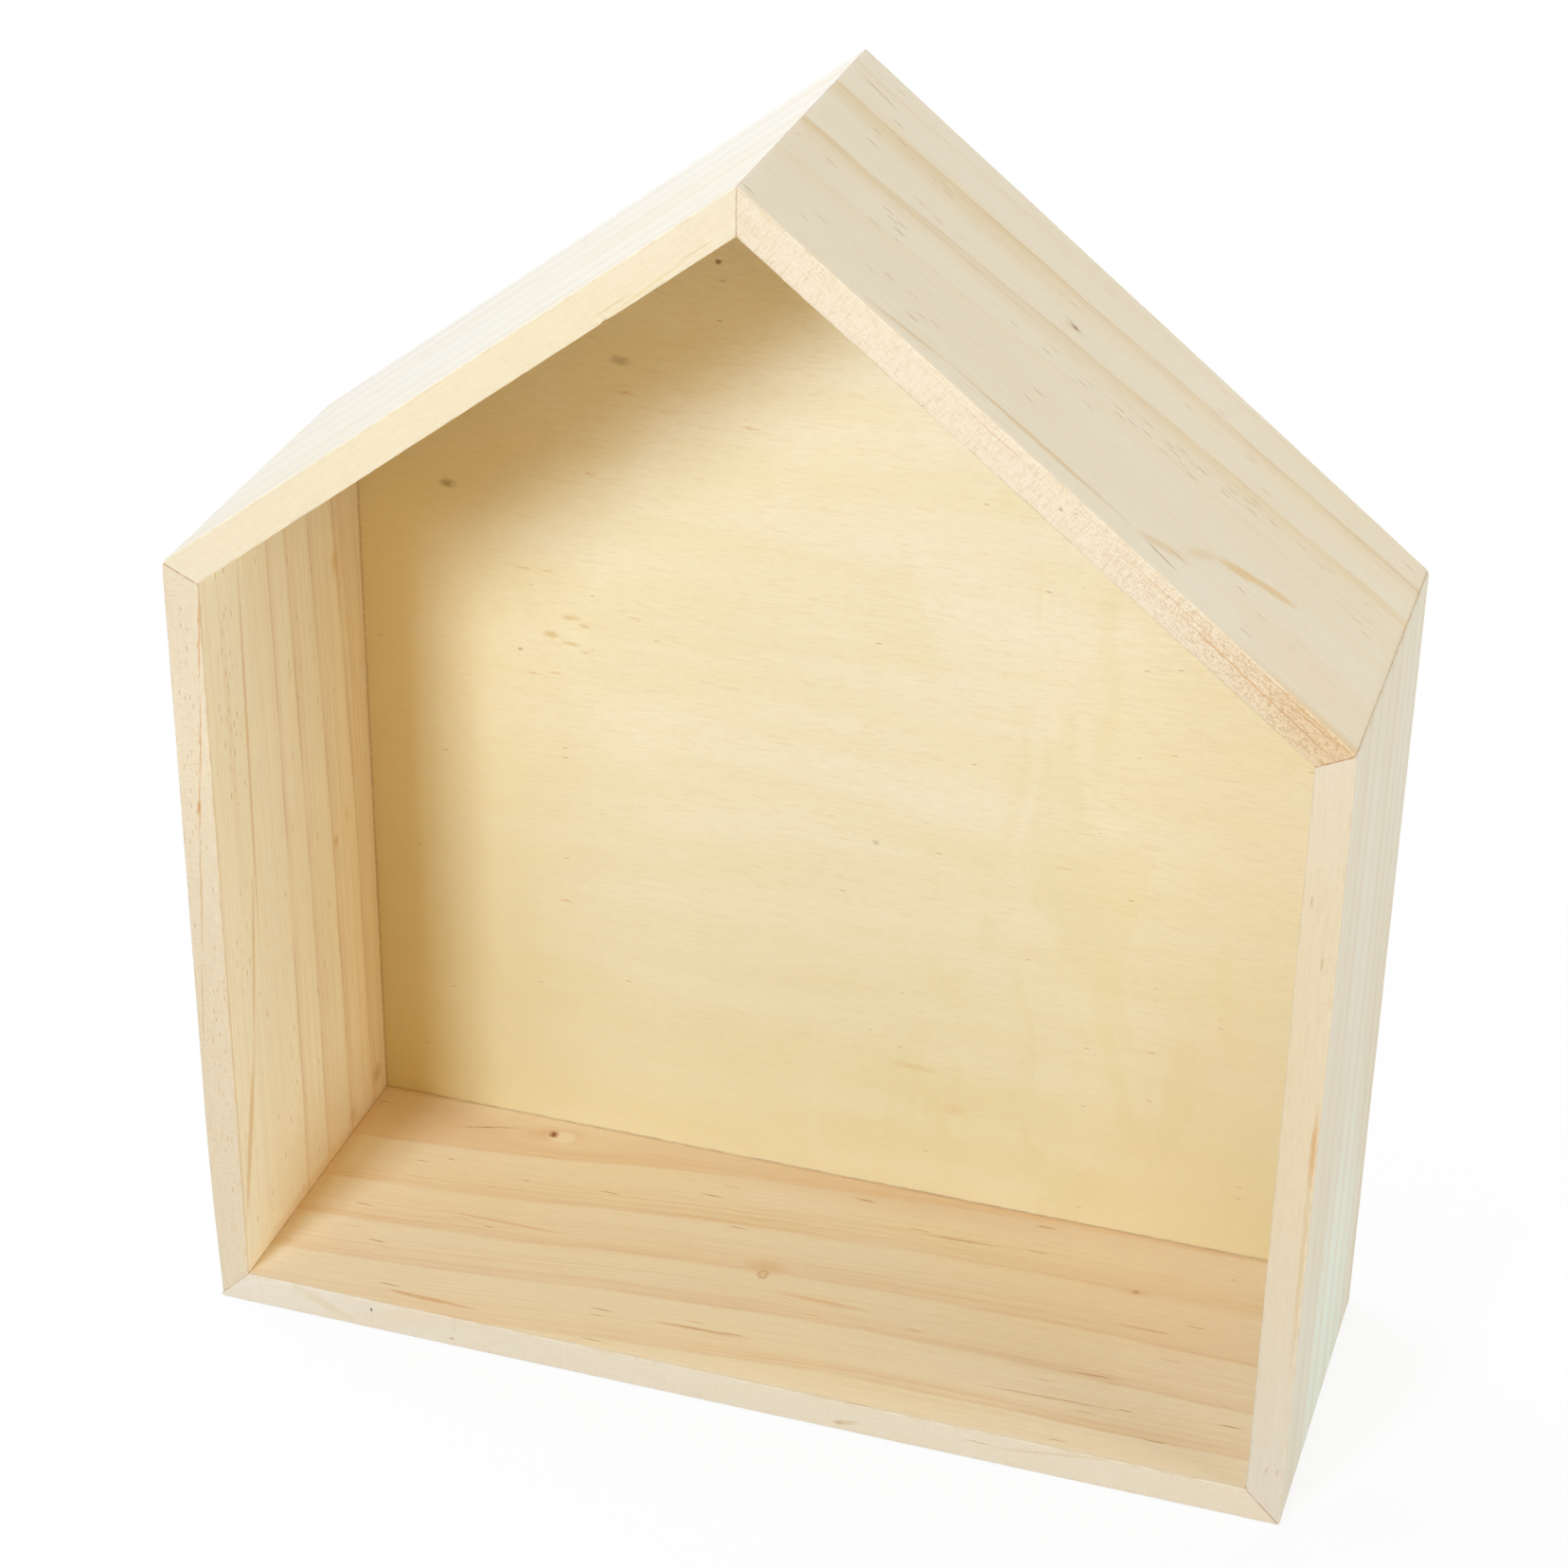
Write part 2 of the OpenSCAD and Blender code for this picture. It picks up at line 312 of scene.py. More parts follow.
# The rings fade in and out, and the latewood is made of fine lines
def latewoodOf(shade, board, along, inward, flowed, onEdge):
    seed = board["seed"]
    wash, line = ringsOf(shade, board, along, flowed)
    ringVector = shade.add("CombineXYZ", {0: along, 1: flowed, 2: inward}).outputs[0]
    strength = shade.noise(ringVector, board["fadeScale"], seed + 3, 1)
    broken = shade.noise(ringVector, board["breakScale"], seed + 4, 2)
    fineNoise = shade.noise(ringVector, board["lineScale"], seed + 5, 3, 0.65)
    wash = shade.times(wash, shade.span(strength, 0.3, 0.6, 0.6, 1), shade.span(fineNoise, 0.3, 0.7, 0.45, 1.3))
    wash = shade.math("ADD", wash, shade.span(fineNoise, 0.46, 0.72, 0, board["fineLines"]), clamp=True)
    line = shade.times(line, shade.span(broken, 0.32, 0.6, 0.25, 1))
    faint = shade.span(onEdge, 0, 1, 1, board["edgeRings"], smooth=False)
    return shade.times(wash, faint), shade.times(line, faint)


# Short dashes of resin canals, thin everywhere and dense in groups
def dashesOf(shade, board, local, along, across, inward, onEdge):
    seed = board["seed"]
    (faceLong, faceHigh), (edgeLong, edgeHigh) = board["dashCell"]
    crosswise = shade.scaled(shade.math("SUBTRACT", inward, across), onEdge, across)
    cellLong = shade.scaled(onEdge, 1 / edgeLong - 1 / faceLong, 1 / faceLong)
    cellHigh = shade.scaled(onEdge, 1 / edgeHigh - 1 / faceHigh, 1 / faceHigh)
    flat = {0: shade.times(along, cellLong), 1: shade.times(crosswise, cellHigh)}
    flat = shade.add("CombineXYZ", flat).outputs[0]
    dashPlace = shade.place(flat, (seed, seed * 1.3, 0), (0, 0, board["dashTurn"]))
    clusters = shade.span(shade.noise(local, board["clusterScale"], seed + 16, 1), 0.38, 0.66, 0.15, 1.9)
    clusters = shade.times(clusters, shade.math("SUBTRACT", 1, onEdge))
    limit = shade.scaled(clusters, -board["dashes"], 1)
    for place, size, turn, amount in board["dashGroups"]:
        limit = shade.scaled(shade.spot(local, place, size, turn, 0.3), -amount, limit)
    return shade.dashes(dashPlace, limit, board["dashOutline"], board["dashStrength"], voronoi_dimensions="2D")


# Knots and single marks that the photo shows, with slightly ragged outlines
def drawMarks(shade, board, local, pits):
    ragged = shade.ragged(local, *board["ragged"])
    for knot in board["knots"]:
        for part, core in board["knotParts"]:
            if part not in knot:
                continue
            reachL, reachA, lump, amount = knot[part]
            centre = knot.get(part + "At", knot["at"])
            spread = shade.spot(ragged, centre, (reachL, reachA, 5), knot.get("turn", 0), core)
            shade.paint(lump, spread, amount)
        pits = shade.math("ADD", pits, shade.times(spread, knot.get("pit", 0.5)))
    for one in board["marks"]:
        spread = shade.spot(ragged, one["at"], one["size"], one["turn"], one["core"], one["tip"])
        shade.paint(one["tone"], spread, one["amount"])
    return pits


# Coarse woven speckle of a slanting cut on a front edge
def specksOf(shade, board, local, onEdge):
    speckle = board["speckle"]
    slanted = shade.place(local, turn=(0, math.radians(board["speckleSlant"]), 0), scale=(1, 1, 2.5))
    specks = shade.noise(slanted, board["speckleScale"], board["seed"] + 20, 2, 0.7)
    dense = shade.span(shade.spot(local, speckle["at"], speckle["size"]), 0, 1, 0.25, 1)
    return shade.times(shade.span(specks, 0.45, 0.64), onEdge, dense, speckle["amount"])


# Soiled arrises, the glue line at each mitre, and a painted shadow along the joint with the back
def soilAndShadeJoints(shade, side, board, local, across, inward):
    middle = boardThickness / 2
    begin, full = board["arrisDirt"]
    fromMiddle = shade.math("ABSOLUTE", shade.math("SUBTRACT", inward, middle))
    arris = shade.span(shade.math("ABSOLUTE", across), halfDepth - begin, halfDepth - full)
    nearEnd = shade.span(fromMiddle, middle - begin, middle - full)
    patches = shade.noise(local, board["patchScale"], board["seed"] + 30, 2)
    shade.paint(board["wearTone"], arris, nearEnd, shade.span(patches, 0.45, 0.7, 0, 0.35))
    width = board["seamWidth"]
    for (point, normal), amount in zip(mitrePlanes(side, 0), board["seams"]):
        distance = shade.vector("DOT_PRODUCT", shade.vector("SUBTRACT", local, point), normal, output="Value")
        seam = shade.span(distance, -width * 2, -width * 0.5)
        shade.paint(board["seamTone"], seam, shade.span(patches, 0.3, 0.6, amount * 0.3, amount))
    # Painted shadow in the corner where the inner face meets the back
    ledge = halfDepth - panelThickness
    shade.paint(
        board["jointShadeTone"], shade.span(across, ledge - 1.2, ledge - 0.1),
        shade.span(inward, boardThickness - 1, boardThickness - 0.5),
        shade.span(patches, 0.3, 0.6, board["joint"] * 0.5, board["joint"]),
    )


def pineMaterial(name, side, board):
    shade = Shade(name)
    seed = board["seed"]
    local = shade.boardVector(side)
    along, across, inward = shade.add("SeparateXYZ", {0: local}).outputs
    flowed = ringFlow(shade, board, local, along, across, inward)
    onEdge = shade.span(across, 0.5 - halfDepth, 0.2 - halfDepth)
    wash, line = latewoodOf(shade, board, along, inward, flowed, onEdge)

    # Colour: broad drift, then tints, some of them painted shade and painted light, then latewood and fibres
    drift = shade.noise(local, board["driftScale"], seed + 9, 1)
    shade.colour = board["early"]
    shade.paint(board["earlyDeep"], shade.span(drift, 0.3, 0.7))
    for tint in board["tints"]:
        spread = shade.spot(local, tint["at"], tint["size"], tint["turn"], 0.2)
        shade.paint(tint["tone"], spread, tint["amount"])
    shade.paint(board["late"], wash)
    shade.paint(board["line"], line)
    fibres = shade.noise(local, board["fibreScale"], seed + 12, 2, 0.7)
    shade.paint(board["fibreTone"], shade.span(fibres, 0.42, 0.75, 0, board["fibres"]), blend="MULTIPLY")

    # Fine marks of the saw across the front edge
    slant, amount = board["sawMarks"]
    slanted = shade.place(local, turn=(0, math.radians(slant), 0), scale=board["sawScale"])
    sawn = shade.noise(slanted, (1, 1, 1), seed + 14, 2, 0.6)
    sawn = shade.times(shade.span(sawn, 0.5, 0.72), onEdge)
    shade.paint(board["line"], sawn, amount)

    dash = dashesOf(shade, board, local, along, across, inward, onEdge)
    shade.paint(board["dashTone"], dash)
    pits = drawMarks(shade, board, local, dash)
    if board["speckle"]:
        specks = specksOf(shade, board, local, onEdge)
        shade.paint(board["speckle"]["tone"], specks)
        pits = shade.math("ADD", pits, specks)
    soilAndShadeJoints(shade, side, board, local, across, inward)

    # Roughness and relief
    smooth, rough = board["roughness"]
    roughness = shade.span(wash, 0, 1, rough, smooth, smooth=False)
    roughness = shade.math("ADD", roughness, shade.span(fibres, 0.3, 0.7, -0.04, 0.06))
    height = fibres
    for part, share in zip((wash, pits, sawn), board["depths"].values()):
        height = shade.scaled(part, share, height)
    return shade.finish(roughness, height, board["relief"], board["specular"])


# Start and end mitre of a side in its own frame: a point and the outward normal
def mitrePlanes(side, back):
    toBoard = boardFrame(side).inverted()
    outer = houseCorners(0)
    inner = houseCorners(boardThickness)
    planes = []
    for corner, sign in ((side, -1), ((side + 1) % 5, 1)):
        first = toBoard @ outer[corner]
        second = toBoard @ inner[corner]
        run = (second - first).normalized()
        normal = Vector((run.z, 0, -run.x))
        if normal.x * sign < 0:
            normal = -normal
        planes.append((first - normal * back, normal))
    return planes


# Cuts a mesh all through along a plane
def cutThrough(mesh, point, normal, **settings):
    whole = mesh.verts[:] + mesh.edges[:] + mesh.faces[:]
    return bmesh.ops.bisect_plane(mesh, geom=whole, plane_co=point, plane_no=normal, dist=cutTolerance, **settings)


# Cuts off what lies past a plane and closes the cut
def sawOff(mesh, point, normal):
    cut = cutThrough(mesh, point, normal, clear_outer=True)
    rim = [part for part in cut["geom_cut"] if isinstance(part, bmesh.types.BMEdge)]
    return bmesh.ops.edgeloop_fill(mesh, edges=rim)["faces"]


def soften(mesh, edges, size, segments=2, clamp=True):
    bmesh.ops.bevel(
        mesh, geom=edges, offset=size, segments=segments, profile=0.5,
        affect="EDGES", material=-1, clamp_overlap=clamp,
    )


def longEdges(mesh, across, inward):
    found = []
    for edge in mesh.edges:
        first, second = (vert.co for vert in edge.verts)
        atPlace = abs(first.y - across) < sameTolerance and abs(first.z - inward) < sameTolerance
        if atPlace and abs(first.x - second.x) > 1:
            found.append(edge)
    return found


def newObject(name, data):
    made = bpy.data.objects.new(name, data)
    bpy.context.scene.collection.objects.link(made)
    return made


# Puts a finished mesh in place of a CAD node
def addPiece(nodeName, mesh, material, evenShading=True):
    bmesh.ops.recalc_face_normals(mesh, faces=mesh.faces[:])
    for face in mesh.faces:
        face.smooth = True
    name = "dressed_" + nodeName
    data = bpy.data.meshes.new(name)
    mesh.to_mesh(data)
    mesh.free()
    data.set_sharp_from_angle(angle=sharpAngle)
    data.materials.append(material)
    piece = newObject(name, data)
    if evenShading:
        weighted = piece.modifiers.new("even shading", "WEIGHTED_NORMAL")
        weighted.keep_sharp = True
        weighted.weight = 90
    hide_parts(nodeName)
    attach(piece, "root")


# Straight bar with the rebate and softened arrises, a little longer than the board
def makeBar(board, length):
    front, outer = board["inset"] - halfDepth, board["inset"]
    rear = halfDepth - board["rearSet"]
    ledge = halfDepth - panelThickness
    section = [
        (front, outer), (rear, outer), (rear, shoulderWidth), (ledge, shoulderWidth),
        (ledge, boardThickness), (front, boardThickness),
    ]
    mesh = bmesh.new()
    profile = [mesh.verts.new((-length / 2 - 1, across, inward)) for across, inward in section]
    grown = bmesh.ops.extrude_face_region(mesh, geom=[mesh.faces.new(profile)])
    ends = [part for part in grown["geom"] if isinstance(part, bmesh.types.BMVert)]
    bmesh.ops.translate(mesh, verts=ends, vec=(length + 2, 0, 0))
    bevels = board["arrisBevel"]
    arrises = [
        (front, outer, bevels["frontOuter"]), (rear, outer, bevels["rearOuter"]),
        (front, boardThickness, bevels["frontInner"]), (ledge, boardThickness, bevels["rearInner"]),
        (rear, shoulderWidth, bevels["ledge"]),
    ]
    for across, inward, size in arrises:
        soften(mesh, longEdges(mesh, across, inward), size, 3, False)
    return mesh


# Crosswise and lengthwise cuts, so that the arrises can carry the traces of sanding
def addCuts(mesh, board, length, pick):
    place = 1 - length / 2
    cuts = []
    while place < length / 2 - 1:
        cuts.append(place)
        place += pick.uniform(*board["cutStep"])
    for chip in board["chips"]:
        cuts += [chip["along"] + offset * chip["wide"] for offset in board["chipCuts"]]
    for place in cuts:
        cutThrough(mesh, (place, 0, 0), (1, 0, 0))
    support = board["support"]
    cutThrough(mesh, (0, board["inset"] - halfDepth + support, 0), (0, 1, 0))
    cutThrough(mesh, (0, 0, support), (0, 0, 1))
    cutThrough(mesh, (0, 0, boardThickness - support), (0, 0, 1))


def wearArrises(mesh, board, pick):
    support = board["support"]
    for vert in mesh.verts:
        along, across, inward = vert.co
        edgeA = halfDepth - abs(across)
        edgeN = min(inward, boardThickness - inward)
        if edgeA < board["arrisZone"] and edgeN < board["arrisZone"]:
            which = (across > 0) * 2 + (inward > boardThickness / 2)
            rub = board["rubMean"]
            for wave, spread, shift, amount in board["rubWaves"]:
                rub += noise.noise(Vector((along / wave, which * spread, board["seed"] + shift))) * amount
            rub = max(rub, 0) * board["arrisWear"]
            vert.co.y -= math.copysign(rub, across)
            vert.co.z += rub if inward < boardThickness / 2 else -rub
        # Outer arris sanded back towards one end
        if board["worn"] and edgeA < support - 0.1 and inward < board["arrisZone"]:
            begin, finish, inwards, backwards = board["worn"]
            much = max(0, min(1, (along - begin) / (finish - begin))) ** 2
            vert.co.z += much * inwards * (1 - edgeA / support)
            vert.co.y += much * backwards * (1 - edgeA / support)
    for chip in board["chips"]:
        for vert in mesh.verts:
            near = abs(vert.co.x - chip["along"]) / chip["wide"]
            onArris = (abs(vert.co.y - chip["across"]) < chip["reach"]
                       and abs(vert.co.z - chip["inward"]) < chip["reach"])
            if near < 0.95 and onArris:
                bite = chip["deep"] * (1 - near ** 2) * pick.uniform(0.7, 1.2)
                vert.co.y += math.copysign(bite, -chip["across"])
                vert.co.z -= bite * 0.8 if chip["inward"] > boardThickness / 2 else -bite * 0.8


def cutMitres(mesh, side, board):
    for (point, normal), blunt in zip(mitrePlanes(side, board["mitreBack"]), board["blunt"]):
        sawn = sawOff(mesh, point, normal)
        rim = [edge for edge in mesh.edges if any(face in sawn for face in edge.link_faces)]
        soften(mesh, rim, board["mitreEase"])
        # Blunt outer tip, square to the line that halves the corner
        halving = Vector((normal.z, 0, -normal.x))
        if halving.z > 0:
            halving = -halving
        sawOff(mesh, point - halving * blunt, halving)


def buildBoard(name, side, settings):
    board = {**commonBoard, **settings}
    pick = random.Random(board["seed"])
    corners = houseCorners(0)
    length = (corners[(side + 1) % 5] - corners[side]).length
    mesh = makeBar(board, length)
    addCuts(mesh, board, length, pick)
    wearArrises(mesh, board, pick)
    cutMitres(mesh, side, board)
    bmesh.ops.transform(mesh, matrix=Matrix.Scale(millimetre, 4) @ boardFrame(side), verts=mesh.verts[:])
    bmesh.ops.remove_doubles(mesh, verts=mesh.verts[:], dist=board["weldGap"])
    addPiece(name, mesh, pineMaterial(name.replace("_", " ") + " pine", side, board))
    print("board made:", name)


baseBoard = {
    "seed": 11,
    "early": (250, 234, 204), "earlyDeep": (249, 230, 193), "late": (239, 204, 154),
    "line": (221, 174, 118), "dashTone": (206, 156, 98), "dashes": 0.03,
    "fibreTone": (240, 226, 208), "wearTone": (214, 184, 142),
    "course": [(-150, 0), (-107, 4), (-78, 7.5), (-55, 12), (-30, 15), (-7, 17), (27, 20.3), (77, 22), (150, 22)],
    "ringFace": 9.5,
    "rings": [(22.5, 1, 0.55, 15, 0.22, 0.9), (0, 0, 0.55, 14, 0.2, 0.9), (-20, -1.4, 0.5, 14, 0.26, 0.9),
              (-38.5, -2.4, 0.48, 13, 0.3, 0.9), (-59, -1, 0.5, 13, 0.22, 0.9), (44, 0, 0.45, 13, 0.15, 0.9)],
    "fineLines": 0.26,
    "seams": (0.45, 0.7), "blunt": (1.3, 0.4), "joint": 0.36, "sawMarks": (25, 0.1),
    "dashGroups": [
        ((-5, 29, 9.5), (60, 4, 3), 2, 0.2), ((70, 30, 9.5), (45, 3, 3), 0, 0.22),
        ((-100, 16, 9.5), (30, 8, 3), 6, 0.14), ((-100, -8, 9.5), (30, 4, 3), 6, 0.2),
        ((-15, -32, 9.5), (28, 4, 3), 4, 0.35), ((75, -30, 9.5), (40, 4, 3), 3, 0.28),
        ((-95, -43, 9.5), (25, 4, 3), 4, 0.3), ((80, 8, 9.5), (50, 8, 3), 3, 0.1),
    ],
    "tints": [
        # Painted shade: the rear left corner of the floor
        mark((-125, 36, 9.5), (60, 16, 9), (232, 200, 156), 0.6),
        # Painted shade: the strip along the back
        mark((20, 44, 9.5), (150, 14, 9), (238, 208, 174), 0.5),
        mark((120, 20, 9.5), (80, 40, 9), (250, 222, 186), 0.5),
        # Painted shade: the corner with the left wall
        mark((-140.5, 0, 9.5), (6, 60, 2), (230, 188, 124), 0.45),
        mark((-20, -44, 9.5), (150, 22, 9), (250, 230, 190), 0.6),
        mark((0, -50, 4), (420, 1.5, 30), (236, 226, 203), 0.95),
        mark((-150, -50, 4), (90, 1.5, 30), (239, 234, 218), 0.8),
    ],
    "knots": [
        {"at": (-84.3, 39.9, 9.5), "pull": 0.5, "turn": 10, "pit": 0.3,
         "halo": (13, 5, (230, 188, 138), 0.7), "ring": (5.5, 3.8, (250, 232, 200), 0.9),
         "ringAt": (-81.5, 39.2, 9.5),
         "rim": (2.0, 2.1, (210, 162, 112), 0.8), "core": (1.1, 1.6, (150, 96, 58), 0.95)},
        {"at": (-5.4, -4.1, 9.5), "pull": 0.5, "pit": 0.05,
         "halo": (9, 5.5, (232, 192, 142), 0.6), "haloAt": (-5.8, -0.6, 9.5),
         "rim": (1.9, 2.5, (198, 152, 100), 0.7), "core": (1.5, 2.1, (240, 214, 170), 0.9)},
        {"at": (94.9, 21.5, 9.5), "pull": 0.4, "pit": 0.2,
         "halo": (6, 3, (232, 196, 150), 0.5), "rim": (1.5, 1.2, (216, 172, 124), 0.6),
         "core": (0.6, 0.5, (176, 132, 90), 0.6)},
    ],
    "marks": [
        innerMark(11.9, 38.3, 4, 0.8, (210, 166, 116), 0.7),
        innerMark(63.6, 42.5, 4, 0.8, (212, 168, 118), 0.6),
        innerMark(-103, 37.3, 13, 0.4, (196, 150, 100), 0.8, turn=17),
        innerMark(43, 28.8, 14, 0.7, (212, 166, 112), 0.6, turn=3),
        innerMark(-82, -4.8, 24, 0.9, (228, 182, 122), 0.5, turn=1),
        innerMark(-14, -33, 18, 0.9, (220, 172, 114), 0.6, turn=2),
        innerMark(14, -10.5, 18, 1.4, (230, 186, 128), 0.5),
        innerMark(84, -30.4, 24, 0.6, (210, 166, 112), 0.5, turn=2),
        innerMark(-88, -44.2, 16, 1.2, (224, 172, 110), 0.65),
        innerMark(92, -17.6, 8, 0.6, (204, 154, 98), 0.7, turn=2),
        innerMark(101, 6.2, 11, 0.8, (218, 172, 118), 0.55, turn=1),
        innerMark(-113, -24.3, 3.5, 0.6, (204, 156, 102), 0.6),
        edgeMark(-103.6, 6.3, 0.55, 0.75, (120, 104, 82), 0.85, core=0.5),
        edgeMark(-80, 2.4, 0.9, 0.5, (190, 156, 110), 0.7),
        edgeMark(31, 2.4, 1.6, 0.8, (196, 160, 110), 0.7),
        edgeMark(33, 3.0, 4.5, 1.2, (214, 190, 146), 0.6, tip=-12),
        edgeMark(69, 5.9, 5, 0.25, (196, 166, 124), 0.7),
        edgeMark(-118, 5.0, 13, 2.2, (224, 204, 162), 0.4, tip=22),
        edgeMark(90, 7.5, 26, 0.7, (224, 200, 158), 0.5, tip=-8),
    ],
}
buildBoard("base_board", 0, baseBoard)

rightWallBoard = {
    "seed": 23,
    # The pine's colour, kept cooler and greyer than on the other boards: partly painted cool light on this side
    "early": (232, 225, 208), "earlyDeep": (229, 219, 198), "late": (222, 202, 168),
    "line": (208, 176, 132), "fibreTone": (238, 230, 216), "wearTone": (214, 188, 150),
    "course": [(-114, 0), (-40, 2), (30, 1), (114, 5)], "ringFace": 0,
    "rings": [(-38, 1, 0.4, 8, 0.2, 0.4), (-24, 2, 0.4, 8, 0.25, 0.4), (-9, 2, 0.35, 8, 0.2, 0.4),
              (6, 1, 0.45, 8, 0.3, 0.4), (19, 0, 0.4, 7, 0.2, 0.4), (31, -1, 0.45, 7, 0.3, 0.4),
              (43, -1, 0.5, 7, 0.3, 0.4)],
    "seams": (0.75, 0.75), "blunt": (0.4, 0.5),
    "tints": [
        mark((30, -50, 5), (150, 2, 30), (234, 212, 168), 0.6),
        # Painted cool light: the lower outer face cooler and greener
        mark((-100, 5, 0), (110, 48, 3), (234, 241, 228), 0.8),
    ],
    "marks": [
        mark((4, -50, 1), (16, 2, 1.1), (214, 170, 108), 0.85, core=0.1),
        mark((-30, -50, 1.1), (50, 2, 0.8), (220, 192, 142), 0.5),
        edgeMark(-97, 4.8, 2.0, 0.35, (196, 166, 134), 0.5, tip=14),
        edgeMark(-97, 1.9, 1.4, 0.6, (210, 176, 150), 0.5, tip=14),
        edgeMark(73.7, 7.1, 2.2, 0.35, (196, 168, 128), 0.6),
        edgeMark(57, 3.4, 2.6, 0.3, (204, 172, 128), 0.6),
    ],
}
buildBoard("right_wall_board", 1, rightWallBoard)

rightRoofBoard = {
    "seed": 37,
    "early": (235, 223, 197), "earlyDeep": (232, 219, 190), "late": (221, 196, 147),
    "line": (204, 169, 110), "fibreTone": (238, 226, 210), "wearTone": (212, 180, 136),
    "course": [(-98, 6.5), (-73, 4.6), (-45, 2.7), (-10, 0.6), (14, -0.8), (40, -2.8), (65, -4.7), (98, -6.5)],
    "ringFace": 0,
    "rings": [(31, 0, 0.6, -9, 0.52, 1.1), (9.6, -4.6, 0.65, -12, 0.4, 0.9), (-6, -9, 0.2, -8, 0.05, 0.6),
              (46, 2, 0.2, -6, 0.1, 0.6)],
    "seams": (1, 0.4), "blunt": (0.5, 0.35), "fineLines": 0.2, "sawMarks": (-40, 0.3),
    "dashTone": (180, 138, 88), "dashes": 0.02, "dashCell": ((13, 1.1), (7, 0.8)),
    "dashGroups": [
        ((0, -3, 0), (60, 3.5, 3), -4, 0.65), ((-55, 9, 0), (45, 3, 3), -8, 0.5), ((70, -12, 0), (30, 8, 3), -4, 0.5),
        ((-20, 2, 0), (30, 4, 3), -8, 0.5), ((60, 22, 0), (35, 6, 3), -4, 0.4), ((60, -32, 0), (30, 4, 3), 0, 0.3),
        ((-75, -24, 0), (16, 5, 3), 0, 0.25), ((-45, 29, 0), (40, 5, 3), -4, 0.15),
    ],
    "tints": [
        mark((-95, -50, 2), (55, 5, 14), (227, 199, 154), 0.8),
        mark((20, -50, 5), (150, 2, 20), (247, 233, 207), 0.7),
        mark((-75, -36, 0), (34, 16, 5), (232, 208, 174), 0.4),
        mark((55, 23, 0), (70, 9, 4), (228, 208, 166), 0.5),
    ],
    "speckle": {"at": (-98, -50, 4), "size": (120, 3, 14), "amount": 0.8, "tone": (206, 170, 120)},
    "knots": [
        {"at": (13.6, 14.6, 0), "pull": 0.4,
         "halo": (4, 2.4, (214, 190, 152), 0.6), "rim": (1.7, 0.9, (178, 148, 114), 0.75),
         "core": (0.8, 0.5, (140, 108, 80), 0.8)},
    ],
    "marks": [
        mark((-61, -17.2, 0), (9, 2.4, 4), (222, 190, 136), 0.8, turn=-19),
        mark((-51, -21.3, 0), (10, 2.6, 4), (221, 188, 132), 0.85, turn=-24),
        mark((-40, -28.5, 0), (8, 2.6, 4), (226, 202, 160), 0.7, turn=-50),
        mark((-31, -38.5, 0), (10, 2.2, 4), (222, 196, 150), 0.7, turn=-24),
        mark((86, 36.8, 0), (9, 0.4, 4), (190, 160, 118), 0.7, turn=5),
        mark((-32, -42.4, 0), (7, 0.45, 4), (184, 150, 106), 0.8, turn=6),
        mark((-36, -37, 0), (3.5, 0.45, 4), (200, 164, 118), 0.6),
        mark((6, -42.2, 0), (36, 1.3, 4), (218, 190, 142), 0.75, turn=-2),
        mark((46, -45.4, 0), (16, 1.2, 4), (218, 190, 142), 0.6, turn=-9),
        edgeMark(-82, 4.7, 16, 0.45, (204, 154, 102), 0.8, tip=1, core=0),
        edgeMark(-62, 4.4, 26, 0.35, (220, 170, 118), 0.8, tip=1),
        edgeMark(-94, 7.6, 6, 0.4, (206, 156, 106), 0.7, tip=4),
        edgeMark(-84, 1.6, 14, 0.4, (214, 166, 116), 0.7, tip=-4),
        edgeMark(-76, 0.8, 18, 0.3, (218, 172, 124), 0.6),
        edgeMark(-42, 2.6, 26, 0.3, (224, 184, 140), 0.6),
        edgeMark(16, 2.2, 18, 0.35, (226, 190, 148), 0.5),
        edgeMark(-7.2, 4.85, 0.7, 0.6, (176, 152, 124), 0.7),
        edgeMark(-10.5, 3.0, 0.5, 0.35, (186, 150, 116), 0.6),
        edgeMark(31.5, 8.9, 0.5, 0.3, (176, 140, 100), 0.6),
    ],
}
buildBoard("right_roof_board", 2, rightRoofBoard)

leftRoofBoard = {
    "seed": 41,
    "early": (241, 232, 213), "earlyDeep": (239, 228, 203), "late": (231, 210, 171),
    "line": (218, 186, 140), "fibreTone": (240, 230, 212), "wearTone": (220, 192, 150),
    "course": [(-98, 0), (-30, 2), (40, 3), (98, 6)], "ringFace": 0,
    "rings": [(40, 2, 0.45, -8, 0.25, 0.4), (24, 2, 0.35, -9, 0.2, 0.4), (7, 3, 0.35, -9, 0.2, 0.4),
              (-10, 2, 0.3, -9, 0.15, 0.4), (-28, 2, 0.35, -9, 0.2, 0.4), (-44, 1, 0.4, -8, 0.25, 0.4)],
    "seams": (0.4, 0.9), "blunt": (0.35, 0.5), "dashes": 0.02,
    "tints": [mark((0, -50, 5), (170, 1.5, 20), (242, 224, 178), 0.55)],
    "marks": [
        edgeMark(-62, 8.3, 20, 0.5, (232, 208, 148), 0.5, tip=-3),
        edgeMark(-78, 7.2, 8, 0.3, (224, 196, 140), 0.6),
        edgeMark(-52, 7.3, 9, 0.3, (226, 200, 144), 0.6),
    ],
    "chips": [{"along": -47.4, "across": -50, "inward": 9.5, "reach": 0.8, "wide": 1.1, "deep": 0.45}],
}
buildBoard("left_roof_board", 3, leftRoofBoard)

